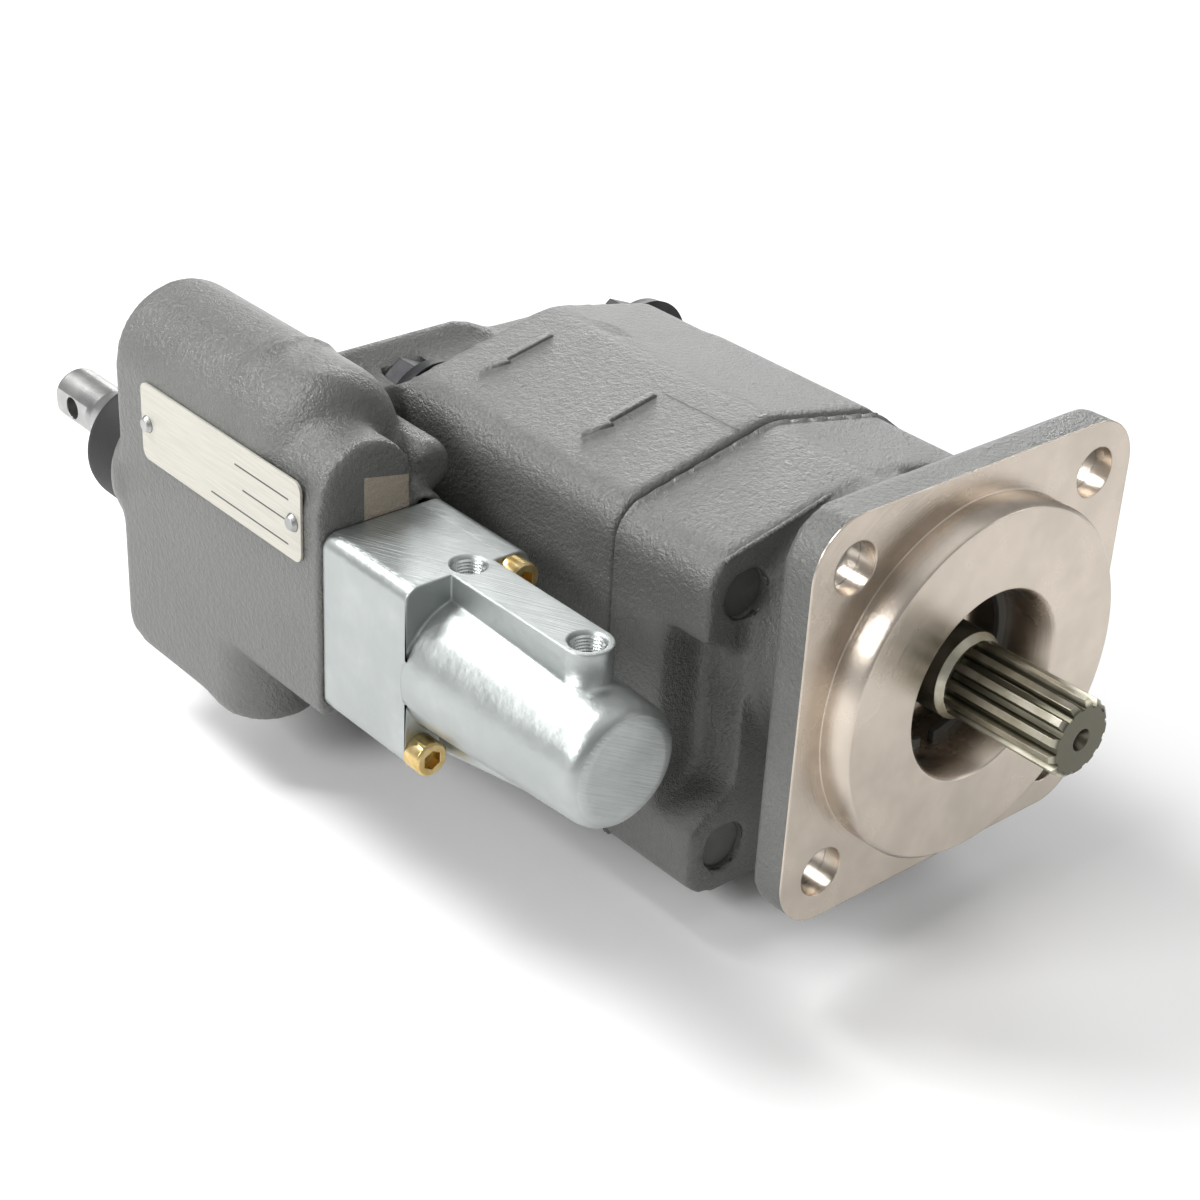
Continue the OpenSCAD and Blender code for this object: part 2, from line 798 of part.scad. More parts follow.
module name_plate() {
  color([0.82, 0.79, 0.72])
  difference() {
    translate([-176, valve_side_y - 0.15, 18.7])
      rotate([90, 0, 0])
        linear_extrude(height = 0.8)
          offset(r = 3)
            square([81 - 6, 24.2 - 6], center = true);
    for (x = [-213.4, -139.4])
      ycyl(1.6, valve_side_y - 2, valve_side_y + 1, x, 18);
  }
}

module plate_screws() {
  color([0.5, 0.48, 0.42])
  for (x = [-213.4, -139.4]) {
    ycyl(1.55, valve_side_y - 1, valve_side_y + 4, x, 18);
    translate([x, valve_side_y - 0.98, 18])
      rotate([90, 0, 0])
        cylinder(r1 = 2.7, r2 = 1.8, h = 1.3);
  }
}

shaft_end_cover();
gear_housing();
port_end_cover();
drive_gear_shaft();
driven_gear_shaft();
thrust_plates();
shaft_bushings();
housing_seals();
dowel_pins();
through_bolts();
shaft_seal();
seal_ring();
air_cylinder();
air_gasket();
air_screws();
control_spool();
spool_seals();
rear_boot();
air_piston();
piston_seal();
piston_screw();
front_spring();
rear_spring();
spring_seat();
relief_poppet();
relief_spring();
relief_cap();
relief_screw();
relief_nut();
check_poppet();
check_spring();
check_plug();
name_plate();
plate_screws();
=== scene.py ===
import math

import bmesh
import bpy
from mathutils import Matrix, Vector, noise


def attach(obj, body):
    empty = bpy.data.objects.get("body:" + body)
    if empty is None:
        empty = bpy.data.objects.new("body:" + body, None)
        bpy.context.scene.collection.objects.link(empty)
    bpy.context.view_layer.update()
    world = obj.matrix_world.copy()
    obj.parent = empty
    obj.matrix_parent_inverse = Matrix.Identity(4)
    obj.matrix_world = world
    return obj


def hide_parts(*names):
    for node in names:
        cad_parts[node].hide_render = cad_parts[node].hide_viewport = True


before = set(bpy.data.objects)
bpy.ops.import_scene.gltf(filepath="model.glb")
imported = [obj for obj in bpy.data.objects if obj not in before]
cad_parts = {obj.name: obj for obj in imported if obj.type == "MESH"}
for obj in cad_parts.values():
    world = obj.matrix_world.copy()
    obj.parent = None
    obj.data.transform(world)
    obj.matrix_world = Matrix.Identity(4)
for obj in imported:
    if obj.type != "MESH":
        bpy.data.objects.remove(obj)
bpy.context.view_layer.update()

# Camera and studio.
# The view is the one the photograph was taken from: a little above the pump, looking at
# the flange end and the valve side. The floor is plain white card under soft boxes.
EYE = Vector((0.32772, -0.42165, 0.31357))
LOOK_AT = Vector((0.0, -0.126877, 0.063381))
ROLL = 0.0552
VIEW_ANGLE = math.radians(28.679)
FLOOR_HEIGHT = -0.0848
FLOOR_REACH = 6.0
SKY_STRENGTH = 0.4

ahead = (LOOK_AT - EYE).normalized()
level = ahead.cross(Vector((0, 0, 1))).normalized()
above = level.cross(ahead)
right = math.cos(ROLL) * level + math.sin(ROLL) * above
upward = math.cos(ROLL) * above - math.sin(ROLL) * level
lens = bpy.data.cameras.new("camera")
lens.sensor_fit = "HORIZONTAL"
lens.angle = VIEW_ANGLE
lens.clip_start = 0.01
lens.clip_end = 50
camera = bpy.data.objects.new("camera", lens)
bpy.context.scene.collection.objects.link(camera)
camera.matrix_world = Matrix.Translation(EYE) @ Matrix((right, upward, -ahead)).transposed().to_4x4()
bpy.context.scene.camera = camera


class Wire:
    """One shader output. Sums, products and the like of wires add Math nodes."""

    def __init__(self, finish, socket):
        self.finish = finish
        self.socket = socket

    def _with(self, operation, first, second):
        return self.finish.node("ShaderNodeMath", {"operation": operation}, {0: first, 1: second})

    def __add__(self, other):
        return self._with("ADD", self, other)

    __radd__ = __add__

    def __sub__(self, other):
        return self._with("SUBTRACT", self, other)

    def __rsub__(self, other):
        return self._with("SUBTRACT", other, self)

    def __mul__(self, other):
        return self._with("MULTIPLY", self, other)

    __rmul__ = __mul__

    def __gt__(self, other):
        return self._with("GREATER_THAN", self, other)

    def __lt__(self, other):
        return self._with("LESS_THAN", self, other)

    def __pow__(self, other):
        return self._with("POWER", self, other)

    def near(self, value, reach):
        """1 where this wire is within reach of a value, 0 elsewhere."""
        return ((self - value) ** 2) ** 0.5 < reach

    def soft(self, low, high):
        """0 below low, 1 above high, smooth between."""
        return self.finish.node("ShaderNodeMapRange", {"interpolation_type": "SMOOTHSTEP"},
                                {"Value": self, "From Min": low, "From Max": high})

    def mix(self, first, second):
        """first where this wire is 0, second where it is 1, both colours."""
        return self.finish.node("ShaderNodeMix", {"data_type": "RGBA"}, {0: self, 6: first, 7: second}, 2)


class Finish:
    """A material with one Principled shader, whose fixed values sit on its own sockets."""

    def __init__(self, name, **fixed):
        self.material = bpy.data.materials.new(name)
        self.material.use_nodes = True
        self.tree = self.material.node_tree
        self.shader = self.tree.nodes["Principled BSDF"]
        for socket, value in fixed.items():
            self.feed(socket.replace("_", " "), value)

    def node(self, kind, settings, sockets, out=0):
        """Adds a node, sets it up, fills its sockets and gives one output back."""
        made = self.tree.nodes.new(kind)
        for key, value in settings.items():
            setattr(made, key, value)
        for key, value in sockets.items():
            self.plug(made.inputs[key], value)
        return Wire(self, made.outputs[out])

    def plug(self, socket, value):
        """Links a wire to a socket, or sets the socket to a number, vector or colour."""
        if isinstance(value, Wire):
            self.tree.links.new(value.socket, socket)
        elif hasattr(value, "__len__") and len(value) == 3 and socket.type == "RGBA":
            socket.default_value = (*value, 1)
        else:
            socket.default_value = value

    def feed(self, socket, value):
        """Gives the shader's own socket a wire or a value."""
        self.plug(self.shader.inputs[socket], value)

    def place(self):
        """The Object coordinates as one wire."""
        return self.node("ShaderNodeTexCoord", {}, {}, 3)

    def axes(self, place):
        """The x, y and z of a place."""
        parts = self.tree.nodes.new("ShaderNodeSeparateXYZ")
        self.tree.links.new(place.socket, parts.inputs[0])
        return [Wire(self, output) for output in parts.outputs]

    def grain(self, vector, scale, detail=2.0, rough=0.5, stretch=None, turn=(0, 0, 0)):
        """Noise between 0 and 1 of that many lumps a metre, turned and then stretched."""
        if stretch:
            vector = self.node("ShaderNodeMapping", {}, {"Vector": vector, "Rotation": turn})
            vector = self.node("ShaderNodeMapping", {}, {"Vector": vector, "Scale": stretch})
        return self.node("ShaderNodeTexNoise", {},
                         {"Vector": vector, "Scale": scale, "Detail": detail, "Roughness": rough})

    def relief(self, height, distance, strength=1.0, edge=0.0):
        """Bumps the surface by height, over edges rounded to the radius edge."""
        sockets = {"Height": height, "Distance": distance, "Strength": strength}
        if edge:
            sockets["Normal"] = self.node("ShaderNodeBevel", {"samples": 6}, {"Radius": edge})
        self.feed("Normal", self.node("ShaderNodeBump", {}, sockets))


card = Finish("white_card", Roughness=0.9)
cloudy = card.grain(card.place(), 3.0).soft(0.2, 0.8)
card.feed("Base Color", cloudy.mix((0.9, 0.9, 0.9), (0.92, 0.92, 0.92)))
floor_mesh = bmesh.new()
bmesh.ops.create_grid(floor_mesh, x_segments=1, y_segments=1, size=FLOOR_REACH)
bmesh.ops.translate(floor_mesh, verts=floor_mesh.verts, vec=(0, 0, FLOOR_HEIGHT))
floor_data = bpy.data.meshes.new("floor")
floor_mesh.to_mesh(floor_data)
floor_mesh.free()
floor = bpy.data.objects.new("floor", floor_data)
bpy.context.scene.collection.objects.link(floor)
floor_data.materials.append(card.material)

sky = bpy.data.worlds.new("studio")
bpy.context.scene.world = sky
sky.use_nodes = True
sky.node_tree.nodes["Background"].inputs["Color"].default_value = (1, 1, 1, 1)
sky.node_tree.nodes["Background"].inputs["Strength"].default_value = SKY_STRENGTH


def soft_box(name, place, towards, size, power):
    """A rectangular soft box at place, facing towards."""
    data = bpy.data.lights.new(name, "AREA")
    data.shape = "RECTANGLE"
    data.size, data.size_y = size
    data.energy = power
    box = bpy.data.objects.new(name, data)
    bpy.context.scene.collection.objects.link(box)
    facing = (Vector(towards) - Vector(place)).to_track_quat("-Z", "Y").to_matrix().to_4x4()
    box.matrix_world = Matrix.Translation(place) @ facing


soft_box("box_shoulder", (-0.82, -0.46, 1.08), (-0.1, -0.05, 0), (0.5, 0.5), 15)
soft_box("box_back", (-1.1, 1.05, 0.45), (-0.1, 0, 0), (0.9, 0.35), 8)
soft_box("box_overhead", (0.4, 0.1, 1.6), (0, 0, 0), (1.4, 1.4), 3.6)
soft_box("box_left", (-0.3, -1.5, 0.9), (-0.1, -0.1, 0), (0.8, 0.5), 17)
soft_box("box_right", (0.95, 1.25, 0.55), (0, 0, 0), (0.7, 0.6), 3)
bpy.context.scene.view_settings.view_transform = "Standard"

# Gear housing and port end cover.
# Two sand-cast iron castings with satin grey paint over the skin of the mould. The valve
# block is cast in one with the cover. Every cast corner is soft, and the seam is sharp.
PAINT = (0.103, 0.105, 0.098)
BARE_PATCH = (0.33, 0.28, 0.22)
CAST_CELL = 0.0015
WELD = 0.000001
REAR_JOINT = -0.142
FRONT_JOINT = -0.076
GEARS_MIDDLE = -0.0215
SPOOL_AXIS = (-0.092, -0.008)
TOP_AXIS = (-0.0905, 0.0295)
BLOCK_TOP = 0.0185


def welded(name):
    """The solid of a CAD node as a mesh of joined faces."""
    solid = bmesh.new()
    solid.from_mesh(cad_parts[name].data)
    bmesh.ops.remove_doubles(solid, verts=solid.verts, dist=WELD)
    return solid


def add_to(whole, part):
    """Adds a mesh to another one and frees it."""
    data = bpy.data.meshes.new("part")
    part.to_mesh(data)
    part.free()
    whole.from_mesh(data)
    bpy.data.meshes.remove(data)


def as_piece(name, mesh, body, finish, smooth=True):
    """Makes an object of a mesh, with its body and finish."""
    if smooth:
        for face in mesh.faces:
            face.smooth = True
    data = bpy.data.meshes.new(name)
    mesh.to_mesh(data)
    mesh.free()
    data.materials.append(finish.material)
    piece = bpy.data.objects.new(name, data)
    bpy.context.scene.collection.objects.link(piece)
    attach(piece, body)
    return piece


def moved_verts(extruded):
    """The new vertices that an extrusion gives."""
    return [part for part in extruded["geom"] if isinstance(part, bmesh.types.BMVert)]


def moved_faces(extruded):
    """The new faces that an extrusion gives."""
    return [part for part in extruded["geom"] if isinstance(part, bmesh.types.BMFace)]


def sand_cast(solid, cell):
    """Makes a solid again from small cells, so that its corners can be rubbed soft."""
    rough = bpy.data.meshes.new("mould")
    solid.to_mesh(rough)
    solid.free()
    holder = bpy.data.objects.new("mould", rough)
    bpy.context.scene.collection.objects.link(holder)
    cells = holder.modifiers.new("cells", "REMESH")
    cells.mode = "VOXEL"
    cells.voxel_size = cell
    filled = bpy.data.meshes.new_from_object(holder.evaluated_get(bpy.context.evaluated_depsgraph_get()))
    skin = bmesh.new()
    skin.from_mesh(filled)
    bpy.data.objects.remove(holder)
    bpy.data.meshes.remove(rough)
    bpy.data.meshes.remove(filled)
    return skin


def rub(skin, passes, chosen):
    """Smooths the vertices whose place is chosen."""
    verts = [vert for vert in skin.verts if chosen(vert.co)]
    for _ in range(passes):
        bmesh.ops.smooth_vert(skin, verts=verts, factor=0.5, use_axis_x=True, use_axis_y=True,
                              use_axis_z=True)


def plane_down(skin, place, lean, chosen):
    """Presses what stands above a leaning plane down to it."""
    for vert in skin.verts:
        over = (vert.co - Vector(place)).dot(lean)
        if over > 0 and chosen(vert.co):
            vert.co -= lean * over


def slice_off(skin, place, direction):
    """Cuts away what lies beyond a plane and gives the edges of the open rim."""
    cut = bmesh.ops.bisect_plane(skin, geom=skin.verts[:] + skin.edges[:] + skin.faces[:], dist=WELD / 10,
                                 plane_co=place, plane_no=direction, clear_outer=True)
    return [part for part in cut["geom_cut"] if isinstance(part, bmesh.types.BMEdge)]


def cut_off(skin, place, direction):
    """Cuts away what lies beyond a plane and closes the cut with a sharp rim."""
    rim = slice_off(skin, place, direction)
    bmesh.ops.triangle_fill(skin, edges=rim, use_beauty=True, normal=direction)
    for edge in rim:
        if edge.is_valid:
            edge.smooth = False


def shades(colour, dark, light):
    """A darker and a lighter colour made from one."""
    return tuple(c * dark for c in colour), tuple(c * light for c in colour)


def span(across, up, at):
    """How far two wires lie from a point in their plane."""
    return ((across - at[0]) ** 2 + (up - at[1]) ** 2) ** 0.5


class CastPaint(Finish):
    """Paint over cast skin: shallow lumps a millimetre or two across, with finer grit."""

    DEPTH = 0.0016
    STRENGTH = 0.65

    def __init__(self, name):
        super().__init__(name, Specular_IOR_Level=0.8)
        self.whole = self.place()
        lumps = self.grain(self.whole, 620, 3.0, 0.6)
        grit = self.grain(self.whole, 1900, 2.0, 0.6)
        broad = self.grain(self.whole, 45, 2.0, 0.5)
        self.skin = 0.65 * lumps + 0.35 * grit
        self.colour = (0.7 * broad + 0.3 * lumps).soft(0.3, 0.7).mix(*shades(PAINT, 0.92, 1.1))
        self.satin = broad.soft(0.2, 0.8) * 0.08 + 0.28


# A small patch on the front of the hump is bare of paint, just above the air cylinder.
HUMP_FACE = -0.129
PATCH_OUTER = -0.0977
PATCH_INNER = -0.0828
PATCH_TOP = 0.0282
PATCH_SLANT = 0.2
# One pit lies in the crest behind the rear seam, with its reach along x, y and z.
PIT_PLACE = (-0.147, 0.004, 0.043)
PIT_REACH = (0.010, 0.005, 0.005)

housing_paint = CastPaint("grey_cast_paint")
x, y, z = housing_paint.axes(housing_paint.whole)
bare = x.near(HUMP_FACE, 0.0008) * (y > PATCH_OUTER) * (y < PATCH_INNER) * (z > BLOCK_TOP)
bare = bare * (z + PATCH_SLANT * (y - PATCH_INNER) < PATCH_TOP)
housing_paint.feed("Base Color", bare.mix(housing_paint.colour, BARE_PATCH))
housing_paint.feed("Roughness", housing_paint.satin)
from_pit = housing_paint.node("ShaderNodeMapping", {}, {
    "Vector": housing_paint.whole,
    "Location": [-place / reach for place, reach in zip(PIT_PLACE, PIT_REACH)],
    "Scale": [1 / reach for reach in PIT_REACH]})
pit = 1 - housing_paint.node("ShaderNodeVectorMath", {"operation": "LENGTH"}, {0: from_pit}, 1).soft(0.3, 1.0)
pit = pit * housing_paint.grain(housing_paint.whole, 420, 3.0, 0.7)
housing_paint.relief(housing_paint.skin - 1.6 * pit, CastPaint.DEPTH, CastPaint.STRENGTH)

# The cover's ears stand a little further forward than the frame has them, the valve block
# is a little wider, and the cover laps into the housing, so that both are cast as one.
EARS_BACK = -0.173
EAR_SHIFT = 0.0015
FLANK_FACE = -0.072
FLANK_END = -0.17
FLANK_SHIFT = 0.0015
LAP = 0.0005
AT_PLACE = 0.00003

housing = welded("gear_housing")
cover = welded("port_end_cover")
for vert in cover.verts:
    if vert.co.x > REAR_JOINT - WELD * 10:
        vert.co.x += LAP
    if abs(vert.co.x - EARS_BACK) < AT_PLACE:
        vert.co.x += EAR_SHIFT
    if abs(vert.co.y - FLANK_FACE) < 0.0001 and vert.co.x > FLANK_END:
        vert.co.y += FLANK_SHIFT

# The top cylinder ends in a longer dome than in the frame.
DOME_START = -0.175
DOME_TIP = -0.1445
DOME_RADIUS = 0.0221
DOME_SOFT = 0.013
QUARTER_STEPS = 8

outline = [(DOME_START, 0.0), (DOME_START, DOME_RADIUS), (DOME_TIP - DOME_SOFT, DOME_RADIUS)]
for step in range(1, QUARTER_STEPS + 1):
    turn = step * math.pi / 2 / QUARTER_STEPS
    outline.append((DOME_TIP - DOME_SOFT + DOME_SOFT * math.sin(turn),
                    DOME_RADIUS - DOME_SOFT + DOME_SOFT * math.cos(turn)))
outline.append((DOME_TIP, 0.0))
verts = [cover.verts.new((along, TOP_AXIS[0], TOP_AXIS[1] + out)) for along, out in outline]
edges = [cover.edges.new(pair) for pair in zip(verts, verts[1:])]
bmesh.ops.spin(cover, geom=verts + edges, cent=(0, *TOP_AXIS), axis=(1, 0, 0), angle=2 * math.pi,
               steps=48, use_merge=True)

# A cast bead runs part of the way round the top cylinder.
BEAD_PLACE = -0.1757
BEAD_RADIUS = 0.0024
BEAD_RING = 0.0212
BEAD_START = math.radians(42)
BEAD_STEP = math.radians(-3)
BEAD_STEPS = 28


def about_x(angle):
    """A turn about a line along x."""
    return Matrix.Rotation(angle, 3, "X")


bead = bmesh.ops.create_circle(cover, cap_ends=True, radius=BEAD_RADIUS, segments=12)["verts"]
bmesh.ops.rotate(cover, verts=bead, cent=(0, 0, 0), matrix=about_x(math.pi / 2))
bmesh.ops.translate(cover, verts=bead, vec=(BEAD_PLACE, TOP_AXIS[0], TOP_AXIS[1] + BEAD_RING))
bmesh.ops.rotate(cover, verts=bead, cent=(0, *TOP_AXIS), matrix=about_x(BEAD_START))
end = [face for face in cover.faces if all(vert in bead for vert in face.verts)]
for step in range(BEAD_STEPS):
    extruded = bmesh.ops.extrude_face_region(cover, geom=end)
    bmesh.ops.rotate(cover, verts=moved_verts(extruded), cent=(0, *TOP_AXIS), matrix=about_x(BEAD_STEP))
    if step:
        bmesh.ops.delete(cover, geom=end, context="FACES_ONLY")
    end = moved_faces(extruded)

both = bmesh.new()
add_to(both, housing)
add_to(both, cover)
skin = sand_cast(both, CAST_CELL)

# The right shoulder is chamfered along all the castings, and behind the ears the top of the
# cover falls away to the rear.
SHOULDER = Vector((0, 10.9, 14)).normalized()
SHOULDER_INNER = 0.02
BACK_SLOPE = Vector((6.2, 0, 9.7)).normalized()
SADDLE_OUTER = -0.0675
SADDLE_INNER = -0.003
SADDLE_LOW = 0.022
SADDLE_TOP = 0.027


def on_saddle(co, rear, front):
    """Whether a place lies on the cover's top between the valve block and the ridge."""
    return rear < co.x < front and SADDLE_OUTER < co.y < SADDLE_INNER and co.z > SADDLE_LOW


plane_down(skin, (0, 0.041, 0.0349), SHOULDER, lambda co: co.x > REAR_JOINT and co.y > SHOULDER_INNER)
plane_down(skin, (0, 0.0395, 0.0348), SHOULDER,
           lambda co: co.x < REAR_JOINT and co.y > SHOULDER_INNER and co.z > 0.01)
plane_down(skin, (-0.1975, 0, 0.0334), BACK_SLOPE, lambda co: on_saddle(co, -0.199, -0.1875))
plane_down(skin, (0, 0, SADDLE_TOP), Vector((0, 0, 1)), lambda co: on_saddle(co, -0.1876, -0.1725))

# Rubbing leaves the spool's bore and the middle of the face at the front seam as they are.
# The bore is then opened to its running size.
SPOOL_CLEAR = 0.0125
BORE_NEAR = 0.0102
BORE_SIZE = 0.00962
FACE_SIDE = 0.045
FACE_LOW = -0.075
FACE_HIGH = 0.03


def cast_skin(co):
    """Whether a place may be rubbed soft."""
    in_face = co.x > FRONT_JOINT - 0.0004 and abs(co.y) < FACE_SIDE and FACE_LOW < co.z < FACE_HIGH
    from_spool = ((co.y - SPOOL_AXIS[0]) ** 2 + (co.z - SPOOL_AXIS[1]) ** 2) ** 0.5
    return from_spool > SPOOL_CLEAR and not in_face


def by_hump(co):
    """Whether a place lies where the top cylinder runs into the hump."""
    return co.y < -0.05 and -0.172 < co.x < -0.137 and co.z > 0.016 and cast_skin(co)


rub(skin, 5, cast_skin)
rub(skin, 7, by_hump)
for vert in skin.verts:
    across = Vector((0, vert.co.y - SPOOL_AXIS[0], vert.co.z - SPOOL_AXIS[1]))
    if across.length < BORE_NEAR:
        vert.co += across.normalized() * (max(across.length, BORE_SIZE) - across.length)
front = skin.copy()
cut_off(skin, (REAR_JOINT, 0, 0), (1, 0, 0))
cut_off(front, (REAR_JOINT, 0, 0), (-1, 0, 0))
rear_piece = as_piece("port_end_casting", skin, "housing", housing_paint)
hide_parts("port_end_cover")
front_piece = as_piece("housing_casting", front, "housing", housing_paint)
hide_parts("gear_housing")

# Shaft end cover.
# The third casting, of sand-cast iron painted like the others. Its flange face, bore and
# bolt holes are machined bare after painting, and its rear rim is spread at the seam.
BARE_IRON = (0.60, 0.53, 0.455)
# The near-black colour of the crack round each bolt end is painted shade in the gap between bolt and hole.
CRACK_SHADE = (0.012, 0.012, 0.012)
PILOT_BORE = 0.0268
BORE_END = -0.034
FLANGE_HOLES = 0.0449
FLANGE_HOLE = 0.0073
FLANGE_BACK = -0.0108
FLANGE_CUT = -0.0055
FLANGE_SKIN = -0.0095
BOLT_SIDE = 0.041
BOLT_HEIGHT = 0.0397
BOLT_FACE = (-0.0402, -0.0384)
BOLT_RING = 0.00725
NECK_END = -0.015

cover_paint = CastPaint("cover_paint_and_turned_iron")
x, y, z = cover_paint.axes(cover_paint.whole)
radius = (y * y + z * z) ** 0.5
flange_face = x > -0.0004
bore = (radius < PILOT_BORE) * (x > BORE_END)
hole = span((y * y) ** 0.5, (z * z) ** 0.5, (FLANGE_HOLES, FLANGE_HOLES)) < FLANGE_HOLE
turned = 1 - (1 - flange_face) * (1 - bore) * (1 - hole * (x > FLANGE_BACK))
around = cover_paint.node("ShaderNodeCombineXYZ", {}, {0: radius, 1: x})
rings = cover_paint.grain(around, 5200, 2.0, 0.7)
smudge = cover_paint.grain(cover_paint.whole, 60, 3.0, 0.6)
iron = smudge.soft(0.3, 0.7).mix(*shades(BARE_IRON, 0.9, 1.06))
no_ring = 1
for bolt_z in (GEARS_MIDDLE + BOLT_HEIGHT, GEARS_MIDDLE - BOLT_HEIGHT):
    no_ring = no_ring * (1 - span(y, z, (-BOLT_SIDE, bolt_z)).near(BOLT_RING, 0.0003))
# The ring round each bolt end is a real crack, sunk by the bump, and its near-black colour is painted shade
# in the gap, broken up by noise.
crack_and_shade = (1 - no_ring) * (x < BOLT_FACE[1]) * (x > BOLT_FACE[0])
crack_and_shade = crack_and_shade * (cover_paint.grain(cover_paint.whole, 160, 2.0) > 0.46)
cover_paint.feed("Base Color", turned.mix(crack_and_shade.mix(cover_paint.colour, CRACK_SHADE), iron))
cover_paint.feed("Metallic", turned)
cover_paint.feed("Roughness", (1 - turned) * cover_paint.satin + turned * (0.2 + 0.12 * smudge))
cover_paint.relief((1 - turned) * cover_paint.skin + turned * (rings * 0.04) - 0.5 * crack_and_shade,
                   CastPaint.DEPTH, CastPaint.STRENGTH, 0.0007)

RIM_START = -0.0745
RIM_INNER = 0.035
RIM_SPREAD = 0.022

behind = sand_cast(welded("shaft_end_cover"), CAST_CELL)
plane_down(behind, (0, 0.041, 0.0334), SHOULDER, lambda co: co.x < NECK_END and co.y > SHOULDER_INNER)
rub(behind, 4, lambda co: co.x < FLANGE_SKIN)
for vert in behind.verts:
    if vert.co.x < RIM_START and math.hypot(vert.co.y, vert.co.z - GEARS_MIDDLE) > RIM_INNER:
        vert.co.y *= 1 + RIM_SPREAD
        vert.co.z += (vert.co.z - GEARS_MIDDLE) * RIM_SPREAD
turned_part = welded("shaft_end_cover")
slice_off(behind, (FLANGE_CUT, 0, 0), (1, 0, 0))
slice_off(turned_part, (FLANGE_CUT, 0, 0), (-1, 0, 0))
for face in behind.faces:
    face.smooth = True
add_to(behind, turned_part)
cover_piece = as_piece("shaft_end_casting", behind, "housing", cover_paint, smooth=False)
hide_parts("shaft_end_cover")

# Air cylinder and its piston.
# Pressure die cast zinc, bright with a faint blue cast. Its top is milled with fine lines
# along the bar, and its front end is faced. Two screws hold it to the valve block.
BLOCK_BACK = -0.128
BLOCK_FRONT = -0.090
BLOCK_SHORTER = 0.0012
BLOCK_LOW = -0.036
FLANK_START = -0.0794
FLANK_OUT = -0.0707
FLANK_SOFT = 0.0045
MILLED_ABOVE = 0.0183
FACED_BEYOND = -0.0262
RING_MARK = (-0.069, 0.0141)
RING_RADIUS = 0.0027
RING_HALF_SQUARED = 0.00000006

zinc = Finish("bright_zinc", Metallic=1.0)
whole = zinc.place()
x, y, z = zinc.axes(whole)
streak = zinc.grain(whole, 1500, 3.0, 0.6, (0.03, 1.0, 1.0), (0, 0, -0.45))
ends = zinc.grain(whole, 1500, 3.0, 0.6, (1.0, 0.04, 1.0), (0.5, 0, 0))
cloud = zinc.grain(whole, 70, 3.0, 0.55)
milled = z > MILLED_ABOVE
faced = x > FACED_BEYOND
as_cast = (1 - milled) * (1 - faced)
mark = (span(x, z, RING_MARK) - RING_RADIUS) ** 2 < RING_HALF_SQUARED
mark = mark * (y < -0.0963) * (x + z < -0.053)
tone = (0.6 * cloud + 0.25 * streak * milled + 0.25 * ends * faced).soft(0.2, 0.75)
zinc.feed("Base Color", tone.mix((0.40, 0.425, 0.42), (0.58, 0.61, 0.60)))
zinc.feed("Roughness", 0.34 + 0.14 * cloud + 0.04 * milled + 0.04 * faced)
zinc.relief(milled * streak + faced * ends + as_cast * 0.6 * zinc.grain(whole, 350, 3.0) - 0.8 * mark,
            0.0004, 0.6, 0.0012)


def dress(finish, *names):
    """Gives CAD nodes a finish in every slot of their own."""
    for name in names:
        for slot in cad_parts[name].material_slots:
            slot.material = finish.material


def joined(first, second):
    """Unites two solids with the Boolean modifier."""
    holders = []
    for solid in (first, second):
        data = bpy.data.meshes.new("blank")
        solid.to_mesh(data)
        solid.free()
        holders.append(bpy.data.objects.new("blank", data))
        bpy.context.scene.collection.objects.link(holders[-1])
    union = holders[0].modifiers.new("union", "BOOLEAN")
    union.operation = "UNION"
    union.solver = "EXACT"
    union.object = holders[1]
    made = bpy.data.meshes.new_from_object(holders[0].evaluated_get(bpy.context.evaluated_depsgraph_get()))
    solid = bmesh.new()
    solid.from_mesh(made)
    bpy.data.meshes.remove(made)
    for holder in holders:
        data = holder.data
        bpy.data.objects.remove(holder)
        bpy.data.meshes.remove(data)
    return solid


dress(zinc, "air_piston")
cylinder = welded("air_cylinder")
for vert in cylinder.verts:
    if abs(vert.co.x - BLOCK_FRONT) < AT_PLACE:
        vert.co.x -= BLOCK_SHORTER
flank = bmesh.new()
corners = ((FLANK_START, BLOCK_LOW), (FLANK_OUT, BLOCK_LOW), (FLANK_OUT, BLOCK_TOP), (FLANK_START, BLOCK_TOP))
end = flank.faces.new([flank.verts.new((BLOCK_BACK, y, z)) for y, z in corners])
drawn = bmesh.ops.extrude_face_region(flank, geom=[end])
bmesh.ops.translate(flank, verts=moved_verts(drawn), vec=(BLOCK_FRONT - BLOCK_SHORTER - BLOCK_BACK, 0, 0))
bmesh.ops.recalc_face_normals(flank, faces=flank.faces)
outer_edges = [edge for edge in flank.edges if all(vert.co.y > FLANK_OUT - 0.0003 for vert in edge.verts)
               and abs(edge.verts[0].co.x - edge.verts[1].co.x) > 0.01]
bmesh.ops.bevel(flank, geom=outer_edges, offset=FLANK_SOFT, segments=8, profile=0.5, affect="EDGES",
                material=-1)
cylinder_piece = as_piece("air_cylinder_casting", joined(cylinder, flank), "housing", zinc, smooth=False)
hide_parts("air_cylinder")

# Screws of the air cylinder.
# Two socket heads plated in yellow zinc, which clamp the block to the valve's front face.
HEADS_BEYOND = -0.0915
UPPER_LOWER = 0.0024

